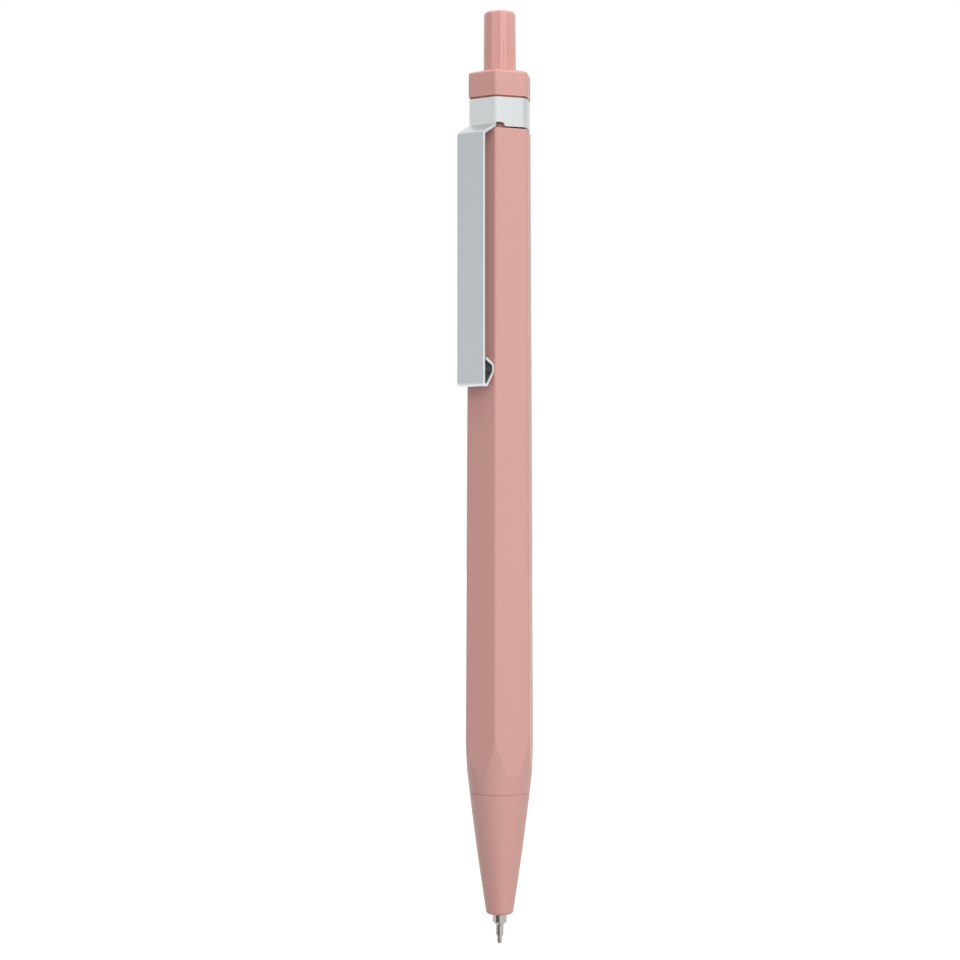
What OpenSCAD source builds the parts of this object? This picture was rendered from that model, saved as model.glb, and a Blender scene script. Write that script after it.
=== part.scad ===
// Click ball pen with a six-sided barrel, a sheet-metal clip and a faceted push button.
// The pen's axis is Z, with the point down, as it is held in the writing position.
// The origin is the lowest point of the writing ball, and the clip faces -Y.
// All sizes are in millimetres and degrees.

/* [Outside lengths] */
// How far the writing point stands out of the nose cone
point_out = 4.6; // [3.5:0.1:5]
// Visible length of the nose cone
nose_len = 18.5; // [16:0.5:24]
// Length of the barrel from the nose joint to the shoulder under the clip's band
barrel_len = 100.65; // [98:0.05:115]
// Height of the collar's sides at its corners
collar_h = 3.6; // [2.5:0.1:6]
// How far the push button stands out of the collar with the point out
button_out = 9.15; // [8:0.05:12]

/* [Barrel] */
// Barrel width across flats at the nose joint
barrel_af = 9.84; // [9.5:0.02:11]
// Barrel width across flats at the shoulder
barrel_top_af = 8.97; // [8.8:0.01:9.8]
// Corner rounding of the barrel and the collar
corner_r = 0.6; // [0.4:0.1:1.5]
// Width across flats of the neck that carries the clip's band
neck_af = 7.9; // [7.8:0.02:8.2]
// Radius of the bore around the ink tube
bore_r = 3; // [2.8:0.05:3.1]
// Radius of the upper bore that takes the guide sleeve and the collar
sleeve_bore_r = 3.3; // [3.25:0.01:3.4]
// Chamfer on both sides of the nose joint
joint_chamfer = 0.1; // [0.05:0.01:0.2]

/* [Nose cone] */
// Radius of the nose cone at its joint with the barrel
nose_joint_r = 4.6; // [4.4:0.05:4.8]
// Radius of the nose cone at its front end, before rounding
nose_end_r = 2.03; // [1.9:0.01:2.4]
// Bulge of the nose cone's side at its middle
nose_bulge = 0.1; // [0:0.02:0.2]
// Rounding of the nose cone's front edge
nose_round = 0.45; // [0.2:0.05:0.6]
// Radius of the spigot that screws into the barrel
spigot_r = 3.5; // [3.3:0.05:3.7]
// Length of that spigot
spigot_len = 8.4; // [6:0.2:12]
// Radius of the spring chamber
chamber_r = 2.1; // [2.05:0.01:2.2]
// Thickness of the nose cone's front wall, behind which the spring sits
front_wall = 5.2; // [4.5:0.1:6.5]

/* [Clip] */
// Thickness of the clip's sheet metal
sheet_t = 0.45; // [0.3:0.05:0.55]
// Height of the band
band_h = 4.4; // [3:0.1:7]
// Gap above and below the band
band_gap = 0.25; // [0.1:0.05:0.4]
// Clearance between the band and the neck
band_clear = 0.04; // [0.02:0.01:0.1]
// Corner rounding of the band
band_corner_r = 1.4; // [0.6:0.1:1.5]
// Width of the clip's arm
clip_w = 4.95; // [4:0.05:5]
// Distance of the arm's outer face from the pen's axis
clip_reach = 7.43; // [7:0.01:9]
// Length from the band's lower edge to the clip's lower end
clip_len = 39.3; // [30:0.05:50]
// Drop of the ramp between the band and the arm
ramp_drop = 1.5; // [1:0.1:2.5]
// Bend radius at the upper end of the ramp, on the middle of the sheet
ramp_in_r = 0.45; // [0.4:0.05:0.5]
// Bend radius at the lower end of the ramp, on the middle of the sheet
ramp_out_r = 0.7; // [0.5:0.05:1]
// Bend radius of the fold at the arm's lower end, on the middle of the sheet
fold_r = 0.4; // [0.3:0.05:0.45]
// Width of the fold's floor between its two bend lines
fold_w = 0.7; // [0.7:0.05:1]
// Rise from the fold's floor to the lower bend line of the bumper
heel_rise = 2.05; // [1.8:0.05:2.2]
// Rise from the fold's floor to the upper bend line of the bumper
bumper_rise = 3.1; // [3:0.05:3.6]
// Gap between the bumper and the barrel's face
bumper_gap = 0.05; // [0.03:0.01:0.1]
// Bend radius of the bumper, on the middle of the sheet
bumper_r = 0.6; // [0.4:0.05:0.8]
// Rise of the sheet's tail behind the bumper
tail_rise = 0.9; // [0.5:0.05:1.6]
// Gap between the sheet's tail and the arm
tail_gap = 0.1; // [0.05:0.05:0.5]
// Radius of the relief notch on each side of the arm's root
notch_r = 0.55; // [0.3:0.05:0.6]
// Turn of each notch past the band's front corner
notch_turn = 9; // [7:1:12]

/* [Collar and button] */
// Width of the collar across flats
collar_af = 8.93; // [8.8:0.01:9.2]
// Rise of the collar's turned top from its corners to its rim
collar_dome = 0.6; // [0.3:0.05:1]
// Width of the flat rim round the push button
collar_rim_w = 0.4; // [0.2:0.05:0.6]
// Length of the collar's spigot in the barrel
collar_spigot_len = 4.5; // [3.5:0.1:6]
// Radius of the push button over its edges, where it leaves the collar
button_r = 2.48; // [2.35:0.01:2.48]
// Radius of the push button over its edges at its top, before rounding
button_top_r = 2.405; // [2.2:0.005:2.42]
// Rounding of the push button's upper edge
button_round = 0.5; // [0.2:0.05:0.8]
// Number of flat sides of the push button
button_sides = 12; // [8:1:16]
// Turn of the push button round the pen's axis
button_turn = 6; // [0:1:29]
// Depth of the groove along each edge of the push button
groove_depth = 0.05; // [0.03:0.01:0.08]
// Radius of the cutter that makes a groove
groove_r = 0.25; // [0.2:0.05:0.5]
// Depth of the push button's socket above the collar's underside
socket_rise = 2.5; // [1:0.1:5]
// Radius of the thrust cam's stem in that socket
stem_r = 1.5; // [1.2:0.05:1.7]

/* [Click mechanism] */
// Travel from writing to retracted
retract_travel = 5.3; // [5.1:0.1:6]
// Extra travel when the button is pressed past its latch
press_travel = 1.2; // [0.8:0.1:1.5]
// Length of the guide sleeve
sleeve_len = 20; // [18:0.5:24]
// Length of the lands between the sleeve's slots
land_len = 13.1; // [12.5:0.1:15]
// Solid ring above the slots
slot_web = 3; // [2:0.1:3.2]
// Radius of the bore between the lands
land_r = 2.55; // [2.53:0.01:2.6]
// Radius to the bottom of the slots
slot_r = 2.9; // [2.85:0.01:3]
// Number of slots, and of ribs on each cam
slot_count = 4; // [3:1:4]
// Width of a slot
slot_w = 1.6; // [1.2:0.1:1.7]
// Slope of the latch faces at the ends of the lands
latch_angle = 35; // [25:1:40]
// Number of teeth on the thrust cam's crown
tooth_count = 8; // [6:2:8]
// Height of a tooth
tooth_h = 0.9; // [0.6:0.05:1.2]
// Width of the flat on half of a tooth's tip
tooth_flat = 0.1; // [0.05:0.01:0.2]
// Length of the ribs on the thrust cam
thrust_rib_len = 2.4; // [1.5:0.1:3]
// Length of the ribs on the rotor
rotor_rib_len = 3; // [2:0.1:3.5]
// Height of the rotor's head above its socket
rotor_head_h = 2.6; // [2.5:0.1:3.5]
// Depth of the rotor's socket over the ink tube
rotor_socket = 5; // [3:0.1:6]
// Radius of the rotor's centring pin inside the thrust cam
pin_r = 1; // [0.8:0.05:1.1]
// Length of that pin above the teeth
pin_len = 3; // [2:0.1:5]

/* [Refill] */
// Radius of the writing ball
ball_r = 0.35; // [0.3:0.025:0.4]
// Radius of the point's slim front
needle_r = 0.62; // [0.55:0.01:0.7]
// Width of the lip round the ball
lip_w = 0.05; // [0.04:0.01:0.1]
// Share of the ball's radius that stands below the lip
ball_share = 0.6; // [0.5:0.05:0.7]
// Length of the thin end round the ball, from the ball's lowest point
tip_len = 1.05; // [0.8:0.05:1.2]
// Length of the cone behind that thin end
tip_cone_len = 0.45; // [0.3:0.05:0.6]
// Length of the slim front from the ball's lowest point to the step
needle_len = 2.9; // [2.5:0.05:3.5]
// Radius of the point's shank
shank_r = 1.13; // [1:0.01:1.15]
// Room ahead of the tip holder when the button is pressed all the way
holder_room = 0.5; // [0.3:0.1:1.5]
// Radius of the ink channel in the point and its holder
channel_r = 0.36; // [0.3:0.02:0.4]
// Step from the shank down to the plug at the back of the point
plug_step = 0.2; // [0.15:0.05:0.3]
// Length of the plug at the back of the point
point_plug_len = 3; // [2:0.1:4]
// Outside radius of the ink tube
tube_r = 1.6; // [1.5:0.05:1.7]
// Wall of the ink tube
tube_wall = 0.4; // [0.3:0.05:0.5]
// Outside radius of the tip holder inside the spring
holder_r = 1.5; // [1.4:0.05:1.6]
// Radius of the holder's shoulder that carries the spring
shoulder_r = 1.95; // [1.85:0.01:2]
// Thickness of that shoulder
shoulder_h = 1.2; // [0.8:0.1:2]
// Length of the spring with the point out
spring_len = 19.9; // [15:0.1:24]
// Thickness of the spring's wire
wire_d = 0.3; // [0.2:0.02:0.34]
// Turns of the spring
spring_turns = 14; // [8:1:18]
// Length of the holder's spigot in the ink tube
holder_spigot_len = 5; // [3:0.1:8]
// Length of the ink
ink_len = 50; // [10:1:55]
// Length of the grease that follows the ink
follower_len = 4; // [2:0.5:8]
// Length of the tail plug inside the tube
tail_plug_len = 3; // [2:0.1:5]
// Thickness of the tail plug's head
tail_head_h = 1; // [0.6:0.1:1.5]
// Radius of the vent in the tail plug
vent_r = 0.4; // [0.2:0.05:0.6]

/* [Fits] */
// Gap between pieces that are pressed or screwed together
fit_gap = 0.02; // [0.01:0.01:0.04]
// Gap between pieces that slide
slide_gap = 0.05; // [0.03:0.01:0.08]
// Gap around the point in the nose cone
point_gap = 0.1; // [0.06:0.01:0.15]
// Gap between the ball and its seat
ball_gap = 0.01; // [0.01:0.005:0.02]

/* [Hidden] */

$fn = 64;
SIDES = 6;
ARC_STEPS = 6;
NOSE_STEPS = 6;
OVERCUT = 1;

// Heights above the ball's lowest point
nose_z = point_out;
joint_z = nose_z + nose_len;
shoulder_z = joint_z + barrel_len;
band_z = shoulder_z + band_gap;
collar_z = band_z + band_h + band_gap;
collar_top_z = collar_z + collar_h + collar_dome;
button_top_z = collar_top_z + button_out;
spring_seat_z = nose_z + front_wall;
spring_top_z = spring_seat_z + spring_len;
tube_z = spring_top_z + shoulder_h;

// Slopes of the nose cone's bulged side at its two ends
joint_slope = (nose_joint_r - nose_end_r - 4 * nose_bulge) / nose_len;
end_slope = (nose_joint_r - nose_end_r + 4 * nose_bulge) / nose_len;
nose_angle = atan(end_slope);
spigot_top_z = joint_z + spigot_len;

// Clip, in the plane of distance from the axis and height
band_in_af = neck_af + 2 * band_clear;
band_af = band_in_af + 2 * sheet_t;
band_mid = (band_in_af + sheet_t) / 2;
band_in_corner_r = band_corner_r - sheet_t;
arm_mid = clip_reach - sheet_t / 2;
ramp_z = band_z + sheet_t / 2;
fold_z = band_z - clip_len + sheet_t / 2;
heel_z = fold_z + heel_rise;
bumper_z = fold_z + bumper_rise;

// Click mechanism
sleeve_top_z = collar_z - collar_spigot_len - fit_gap;
sleeve_z = sleeve_top_z - sleeve_len;
land_z = sleeve_top_z - land_len;
slot_top_z = sleeve_top_z - slot_web;
rib_r = slot_r - slide_gap;
rib_w = slot_w - 2 * slide_gap;
crown_z = land_z - tooth_h / 2;
cam_r = land_r - 2 * slide_gap;
thrust_rib_z = slot_top_z - retract_travel - slide_gap - thrust_rib_len;
button_z = collar_z - collar_spigot_len - retract_travel + slide_gap;
socket_top_z = collar_z + socket_rise;

// Refill
holder_z = spring_seat_z + press_travel + holder_room;
needle_tip_r = ball_r + lip_w;
ball_seat_r = ball_r + ball_gap;
plug_r = shank_r - plug_step;
tube_in_r = tube_r - tube_wall;
fill_r = tube_in_r - fit_gap;
ink_z = tube_z + holder_spigot_len + fit_gap;
follower_z = ink_z + ink_len + fit_gap;
rotor_roof_z = crown_z - tooth_h / 2 - rotor_head_h;
tube_top_z = rotor_roof_z - tail_head_h - fit_gap;

PINK = [0.86, 0.66, 0.63];
STEEL = [0.8, 0.82, 0.83];
NICKEL = [0.75, 0.72, 0.71];
NATURAL = [0.92, 0.91, 0.88];
INK = [0.03, 0.18, 0.5];

// Barrel's half width at height z, at the middle of a flat
function barrel_face(z) = (barrel_af + (barrel_top_af - barrel_af) * (z - joint_z) / barrel_len) / 2;

// Nose cone's radius at height z
function nose_r(z) =
    let (share = (z - nose_z) / nose_len)
    nose_end_r + (nose_joint_r - nose_end_r) * share + 4 * nose_bulge * share * (1 - share);

// Points on an arc, from one angle to the other
function arc(centre, r, from, to) =
    [for (i = [0:ARC_STEPS]) let (a = from + (to - from) * i / ARC_STEPS) centre + r * [cos(a), sin(a)]];

// Hexagon with flats towards +Y and -Y, and rounded corners
function hexagon(af, r) =
    [for (i = [0:SIDES - 1])
        let (a = i * 360 / SIDES, reach = (af / 2 - r) / cos(180 / SIDES))
        each arc(reach * [cos(a), sin(a)], r, a - 180 / SIDES, a + 180 / SIDES)];

function unit(v) = v / norm(v);
function left_of(v) = [-v.y, v.x];

// One bend of a sheet: the corner at b between a and c, rounded to radius r
function bend(a, b, c, r) =
    let (u = unit(a - b), v = unit(c - b), half = acos(u * v) / 2,
         centre = b + unit(u + v) * r / sin(half),
         from = b + u * r / tan(half) - centre, to = b + v * r / tan(half) - centre,
         start = atan2(from.y, from.x), turn = atan2(to.y, to.x) - start,
         sweep = turn > 180 ? turn - 360 : turn < -180 ? turn + 360 : turn)
    arc(centre, r, start, start + sweep);

// Middle line of a bent sheet, from its sharp corners and the bend radius at each
function bent_path(corners, radii) =
    let (last = len(corners) - 1)
    [corners[0],
     for (i = [1:last - 1]) each bend(corners[i - 1], corners[i], corners[i + 1], radii[i - 1]),
     corners[last]];

// Direction square to the path at point i
function square_to(path, i) =
    let (last = len(path) - 1)
    unit(left_of(unit(path[min(i + 1, last)] - path[i == last ? last - 1 : i])
                 + unit(path[i == 0 ? 1 : i] - path[max(i - 1, 0)])));

// Outline of a sheet of thickness t along its middle line
function sheet_outline(path, t) =
    let (last = len(path) - 1)
    [for (i = [0:last]) path[i] + square_to(path, i) * t / 2,
     for (i = [last:-1:0]) path[i] - square_to(path, i) * t / 2];

module hex_prism(af, r, h) {
    linear_extrude(h) polygon(hexagon(af, r));
}

module hole(r, z, h) {
    translate([0, 0, z]) cylinder(r = r, h = h);
}

// A ring of copies round the pen's axis
module ring(count) {
    for (i = [0:count - 1]) rotate(i * 360 / count) children();
}

module barrel() {
    draft = barrel_top_af / barrel_af;
    end_r = nose_joint_r - joint_chamfer;
    cone_r = nose_joint_r + joint_slope * joint_chamfer;
    cone_top_r = nose_joint_r + joint_slope * barrel_len;
    neck_h = collar_z - shoulder_z;
    color(PINK) difference() {
        union() {
            intersection() {
                translate([0, 0, joint_z])
                    linear_extrude(barrel_len, scale = draft) polygon(hexagon(barrel_af, corner_r));
                translate([0, 0, joint_z]) hull() {
                    cylinder(r1 = end_r, r2 = cone_r, h = joint_chamfer);
                    translate([0, 0, barrel_len]) cylinder(r = cone_top_r, h = OVERCUT);
                }
            }
            translate([0, 0, shoulder_z - OVERCUT]) hex_prism(neck_af, band_in_corner_r, neck_h + OVERCUT);
        }
        hole(bore_r, joint_z - OVERCUT, barrel_len);
        hole(spigot_r + fit_gap, joint_z - OVERCUT, spigot_len + fit_gap + OVERCUT);
        hole(sleeve_bore_r, sleeve_z - fit_gap, collar_z - sleeve_z + fit_gap + OVERCUT);
    }
}

module nose_cone() {
    round_centre = [nose_end_r - nose_round * (1 - sin(nose_angle)) / cos(nose_angle), nose_z + nose_round];
    mouth_r = shank_r + point_gap;
    color(PINK) rotate_extrude() polygon([
        [mouth_r, nose_z],
        each arc(round_centre, nose_round, -90, -nose_angle),
        for (i = [1:NOSE_STEPS - 1]) let (z = nose_z + nose_len * i / NOSE_STEPS) [nose_r(z), z],
        [nose_r(joint_z - joint_chamfer), joint_z - joint_chamfer],
        [nose_joint_r - joint_chamfer, joint_z],
        [spigot_r, joint_z],
        [spigot_r, spigot_top_z - joint_chamfer],
        [spigot_r - joint_chamfer, spigot_top_z],
        [chamber_r, spigot_top_z],
        [chamber_r, spring_seat_z],
        [mouth_r, spring_seat_z]]);
}

// The band and the arm are one stamped sheet, folded back at the lower end into a hollow bumper
module clip() {
    bumper_mid = barrel_face(heel_z) + bumper_gap + sheet_t / 2;
    tail_mid = arm_mid - sheet_t - tail_gap;
    path = bent_path(
        [[band_mid, band_z + band_h / 3], [band_mid, ramp_z], [arm_mid, ramp_z - ramp_drop],
         [arm_mid, fold_z], [arm_mid - fold_w, fold_z], [bumper_mid, heel_z], [bumper_mid, bumper_z],
         [tail_mid, bumper_z + tail_rise]],
        [ramp_in_r, ramp_out_r, fold_r, fold_r, bumper_r, bumper_r]);
    color(STEEL) difference() {
        union() {
            translate([0, 0, band_z]) hex_prism(band_af, band_corner_r, band_h);
            rotate([90, 0, -90]) translate([0, 0, -clip_w / 2])
                linear_extrude(clip_w) polygon(sheet_outline(path, sheet_t));
        }
        translate([0, 0, band_z - OVERCUT])
            hex_prism(band_in_af, band_in_corner_r, band_h + 2 * OVERCUT);
        for (side = [-1, 1])
            translate([0, 0, band_z]) rotate([90, 0, side * (180 / SIDES + notch_turn)])
                cylinder(r = notch_r, h = band_af);
    }
}

// The flats end in low arches, where a shallow cone turns the top down
module top_collar() {
    reach = collar_af / 2 / cos(180 / SIDES);
    rim_r = button_r + slide_gap + collar_rim_w;
    side_h = collar_h + collar_dome;
    color(PINK) difference() {
        union() {
            translate([0, 0, collar_z]) intersection() {
                hex_prism(collar_af, corner_r, side_h);
                hull() {
                    cylinder(r = reach, h = collar_h);
                    cylinder(r = rim_r, h = side_h);
                }
            }
            hole(sleeve_bore_r - fit_gap, collar_z - collar_spigot_len, collar_spigot_len + collar_h / 2);
        }
        hole(button_r + slide_gap, collar_z - collar_spigot_len - OVERCUT,
             collar_spigot_len + side_h + 2 * OVERCUT);
    }
}

// Slots guide the ribs of both cams, and the sloped ends of the lands between them are the latch
module guide_sleeve() {
    latch_len = 2 * slot_r;
    slot_h = slot_top_z - land_z + OVERCUT;
    color(NATURAL) difference() {
        hole(sleeve_bore_r - fit_gap, sleeve_z, sleeve_len);
        hole(land_r, sleeve_z - OVERCUT, sleeve_len + 2 * OVERCUT);
        hole(slot_r, sleeve_z - OVERCUT, land_z - sleeve_z + OVERCUT);
        intersection() {
            hole(slot_r, land_z - OVERCUT, slot_h);
            union() {
                ring(slot_count)
                    translate([0, -slot_w / 2, land_z - OVERCUT]) cube([slot_r, slot_w, slot_h]);
                ring(slot_count)
                    translate([0, slot_w / 2, land_z]) rotate([latch_angle, 0, 0])
                        translate([0, 0, -latch_len]) cube([slot_r, slot_w, latch_len]);
            }
        }
    }
}

// A shape with flat sides all the way round, from points of radius and height
module faceted(profile, sides) {
    last = len(profile) - 1;
    points = [for (p = profile, k = [0:sides - 1])
        let (a = k * 360 / sides) [p.x * cos(a), p.x * sin(a), p.y]];
    walls = [for (i = [0:last - 1], k = [0:sides - 1])
        let (p = i * sides + k, q = i * sides + (k + 1) % sides) [p, p + sides, q + sides, q]];
    floor_face = [for (k = [0:sides - 1]) k];
    roof_face = [for (k = [sides - 1:-1:0]) last * sides + k];
    polyhedron(points, [floor_face, each walls, roof_face]);
}

// Grooves follow the edges of the button's flat sides and their slight taper
module push_button() {
    taper = atan((button_r - button_top_r) / button_out);
    top_round = [button_top_r - button_round, button_top_z - button_round];
    groove_len = button_out + collar_dome + collar_h + collar_spigot_len;
    color(PINK) rotate(button_turn) difference() {
        faceted([[button_r, button_z], [button_r, collar_top_z], each arc(top_round, button_round, 0, 90)],
                button_sides);
        hole(stem_r + fit_gap, button_z - OVERCUT, socket_top_z - button_z + fit_gap + OVERCUT);
        ring(button_sides)
            translate([button_r + groove_r - groove_depth, 0, collar_top_z]) rotate([0, -taper, 0])
                translate([0, 0, button_out - groove_len]) cylinder(r = groove_r, h = groove_len);
    }
}

// One tooth gap as a wedge that opens towards the point, on the +X side
module tooth_gap() {
    half = cam_r * tan(180 / tooth_count) - tooth_flat;
    rotate([90, 0, 90]) linear_extrude(2 * cam_r)
        polygon([[-half, -tooth_h / 2 - OVERCUT], [half, -tooth_h / 2 - OVERCUT],
                 [half, -tooth_h / 2], [0, tooth_h / 2], [-half, -tooth_h / 2]]);
}

// Ribs that run in the sleeve's slots
module guide_ribs(z, h) {
    root_r = cam_r - slide_gap;
    intersection() {
        hole(rib_r, z, h);
        ring(slot_count) translate([root_r, -rib_w / 2, z]) cube([rib_r - root_r, rib_w, h]);
    }
}

module thrust_cam() {
    color(NATURAL) difference() {
        union() {
            hole(cam_r, crown_z - tooth_h / 2, button_z - fit_gap - crown_z + tooth_h / 2);
            hole(stem_r, button_z - fit_gap - OVERCUT, socket_top_z - button_z + fit_gap + OVERCUT);
            guide_ribs(thrust_rib_z, thrust_rib_len);
        }
        hole(pin_r + slide_gap, crown_z - tooth_h, pin_len + tooth_h + slide_gap);
        ring(tooth_count) translate([0, 0, crown_z]) tooth_gap();
    }
}

// The rotor's teeth fill the gaps of the thrust cam's crown, and its ribs stand up round the crown
module rotor_cam() {
    rib_z = land_z - slide_gap - rotor_rib_len;
    rotor_z = rotor_roof_z - rotor_socket;
    color(NATURAL) difference() {
        union() {
            hole(cam_r, rotor_z, crown_z - tooth_h / 2 - slide_gap - rotor_z);
            translate([0, 0, -2 * slide_gap]) intersection() {
                hole(cam_r, crown_z - tooth_h / 2 - slide_gap, tooth_h + slide_gap);
                ring(tooth_count) translate([0, 0, crown_z]) tooth_gap();
            }
            hole(pin_r, rotor_z + rotor_socket, crown_z + pin_len - rotor_roof_z - slide_gap);
            difference() {
                guide_ribs(rib_z, rotor_rib_len);
                hole(cam_r + slide_gap, crown_z - tooth_h / 2 - slide_gap, tooth_h + OVERCUT);
            }
        }
        hole(tube_r + fit_gap, rotor_z - OVERCUT, rotor_socket + OVERCUT);
    }
}

// Coil with closed ends, swept as one tube along its helix
module return_spring() {
    wire_sides = 6;
    turn_steps = 14;
    closed_turns = 1.2;
    coil_r = chamber_r - 2 * slide_gap - wire_d / 2;
    steps = spring_turns * turn_steps;
    rise = spring_len - 2 * fit_gap - wire_d;
    closed_rise = closed_turns * (wire_d + fit_gap);
    pitch = (rise - 2 * closed_rise) / (spring_turns - 2 * closed_turns);
    function coil_z(turn) =
        turn < closed_turns ? turn * (wire_d + fit_gap) :
        turn > spring_turns - closed_turns ? rise - (spring_turns - turn) * (wire_d + fit_gap) :
        closed_rise + (turn - closed_turns) * pitch;
    points = [for (i = [0:steps], k = [0:wire_sides - 1])
        let (turn = i / turn_steps, a = turn * 360, b = k * 360 / wire_sides,
             r = coil_r + cos(b) * wire_d / 2)
        [r * cos(a), r * sin(a), spring_seat_z + fit_gap + wire_d / 2 + coil_z(turn) + sin(b) * wire_d / 2]];
    walls = [for (i = [0:steps - 1], k = [0:wire_sides - 1])
        let (p = i * wire_sides + k, q = i * wire_sides + (k + 1) % wire_sides)
        each [[p, q, q + wire_sides], [p, q + wire_sides, p + wire_sides]]];
    start_cap = [for (k = [wire_sides - 1:-1:0]) k];
    end_cap = [for (k = [0:wire_sides - 1]) steps * wire_sides + k];
    color(STEEL) polyhedron(points, [each walls, start_cap, end_cap]);
}

module refill_tube() {
    color(NATURAL, 0.5) difference() {
        hole(tube_r, tube_z, tube_top_z - tube_z);
        hole(tube_in_r, tube_z - OVERCUT, tube_top_z - tube_z + 2 * OVERCUT);
    }
}

module tip_holder() {
    nose_chamfer = holder_r - shank_r;
    plug_hole = plug_r + fit_gap;
    plug_end_z = holder_z + point_plug_len + fit_gap;
    color(NATURAL) rotate_extrude() polygon([
        [plug_hole, holder_z],
        [shank_r, holder_z],
        [holder_r, holder_z + nose_chamfer],
        [holder_r, spring_top_z],
        [shoulder_r, spring_top_z],
        [shoulder_r, tube_z],
        [tube_in_r - fit_gap, tube_z],
        [tube_in_r - fit_gap, tube_z + holder_spigot_len],
        [channel_r, tube_z + holder_spigot_len],
        [channel_r, plug_end_z],
        [plug_hole, plug_end_z]]);
}

// Stepped metal point with an ink channel and a seat whose lip traps the ball
module point_housing() {
    lip_z = ball_r * ball_share;
    step_h = shank_r - needle_r;
    color(NICKEL) difference() {
        rotate_extrude() polygon([
            [0, lip_z],
            [needle_tip_r, lip_z],
            [needle_tip_r, tip_len],
            [needle_r, tip_len + tip_cone_len],
            [needle_r, needle_len],
            [shank_r, needle_len + step_h],
            [shank_r, holder_z],
            [plug_r, holder_z],
            [plug_r, holder_z + point_plug_len],
            [0, holder_z + point_plug_len]]);
        translate([0, 0, ball_r]) sphere(r = ball_seat_r);
        hole(ball_r / 2, ball_r, needle_len);
        hole(channel_r, needle_len, holder_z + point_plug_len);
    }
}

module writing_ball() {
    color(NICKEL) translate([0, 0, ball_r]) sphere(r = ball_r);
}

module ink_column() {
    color(INK) hole(fill_r, ink_z, ink_len);
}

module ink_follower() {
    color(NATURAL, 0.6) hole(fill_r, follower_z, follower_len);
}

// Plug with a vent hole, its head on the end of the tube
module tail_plug() {
    color(INK) difference() {
        union() {
            hole(fill_r, tube_top_z - tail_plug_len, tail_plug_len + tail_head_h / 2);
            hole(tube_r, tube_top_z, tail_head_h);
        }
        hole(vent_r, tube_top_z - tail_plug_len - OVERCUT, tail_plug_len + tail_head_h + 2 * OVERCUT);
    }
}

barrel();
nose_cone();
clip();
top_collar();
guide_sleeve();
push_button();
thrust_cam();
rotor_cam();
return_spring();
refill_tube();
tip_holder();
point_housing();
writing_ball();
ink_column();
ink_follower();
tail_plug();
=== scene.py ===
# %% [markdown]
# # A click ball pen in pink plastic and sheet steel
# The pen stands on its point with the clip to the left, as in a catalogue picture on white.
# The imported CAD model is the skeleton: it says where each piece is and what moves with what.
# The pieces that the eye meets are modelled again here, with fine bends, rounded corners
# and turned profiles, and they take the place of the plain CAD solids.
# The ball and the pieces inside the barrel, apart from the spring, keep their CAD shape and get
# a finish of their own.

import math

import bpy
from mathutils import Matrix, Vector


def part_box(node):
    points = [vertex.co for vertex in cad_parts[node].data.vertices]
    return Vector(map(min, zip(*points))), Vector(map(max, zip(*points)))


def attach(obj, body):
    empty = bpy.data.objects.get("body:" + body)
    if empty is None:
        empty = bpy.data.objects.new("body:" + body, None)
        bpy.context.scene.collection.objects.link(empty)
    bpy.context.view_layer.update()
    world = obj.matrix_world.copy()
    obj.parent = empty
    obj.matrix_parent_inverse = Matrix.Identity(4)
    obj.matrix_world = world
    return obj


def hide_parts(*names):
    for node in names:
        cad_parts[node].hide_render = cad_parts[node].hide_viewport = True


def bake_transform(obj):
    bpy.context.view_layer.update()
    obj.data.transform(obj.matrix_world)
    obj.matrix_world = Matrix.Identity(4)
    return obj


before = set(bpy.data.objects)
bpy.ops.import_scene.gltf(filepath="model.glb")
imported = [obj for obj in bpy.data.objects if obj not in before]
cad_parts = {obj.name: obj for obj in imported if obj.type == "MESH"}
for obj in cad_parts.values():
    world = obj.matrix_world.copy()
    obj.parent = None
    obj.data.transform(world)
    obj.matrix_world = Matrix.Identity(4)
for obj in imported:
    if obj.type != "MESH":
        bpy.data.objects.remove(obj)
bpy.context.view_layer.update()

# %% [markdown]
# The bench works in millimetres, one Blender unit to the millimetre, because a pen has bends
# of half a millimetre and Blender's own thresholds suit numbers near one. Each finished piece
# is brought down to metres in its last step, with its place kept in the mesh.
# Heights are read from the boxes of the CAD nodes, so that the pieces meet where the CAD says.

# %% Units and heights
MM = 0.001
MICRON = 0.000001
FACETS = 6
HALF_FACET = math.pi / FACETS
BAND_HEIGHT = 4.4
BAND_GAP = 0.25


def span(node):
    """Lowest and highest point of a CAD node along the pen, in millimetres."""
    low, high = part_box(node)
    return low[2] / MM, high[2] / MM


nose_end, spigot_top = span("nose_cone")
joint_height, neck_top = span("barrel")
band_top = span("clip")[1]
band_bottom = band_top - BAND_HEIGHT
shoulder_height = band_bottom - BAND_GAP
sleeve_bottom = span("guide_sleeve")[0]
collar_foot, collar_top = span("top_collar")
collar_bottom = neck_top
spring_foot, spring_head = span("return_spring")
button_foot, button_top = span("push_button")
print(f"Joint at {joint_height:.2f} mm, shoulder at {shoulder_height:.2f} mm")
print(f"Collar up to {collar_top:.2f} mm, button up to {button_top:.2f} mm")

# %% [markdown]
# A few small helpers keep the later cells short. One opens a fresh primitive for editing, one
# selects by place, one rounds edges, one turns all faces outwards, one applies a modifier, one
# cuts or joins two solids, one keeps flats looking flat, and two finish a piece: they shade it,
# bring it to metres and hand it to the frame.

# %% Helpers of the bench
FULL_WEIGHT = 100


def deselect_all():
    if bpy.context.mode != "OBJECT":
        bpy.ops.object.mode_set(mode="OBJECT")
    bpy.ops.object.select_all(action="DESELECT")


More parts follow.
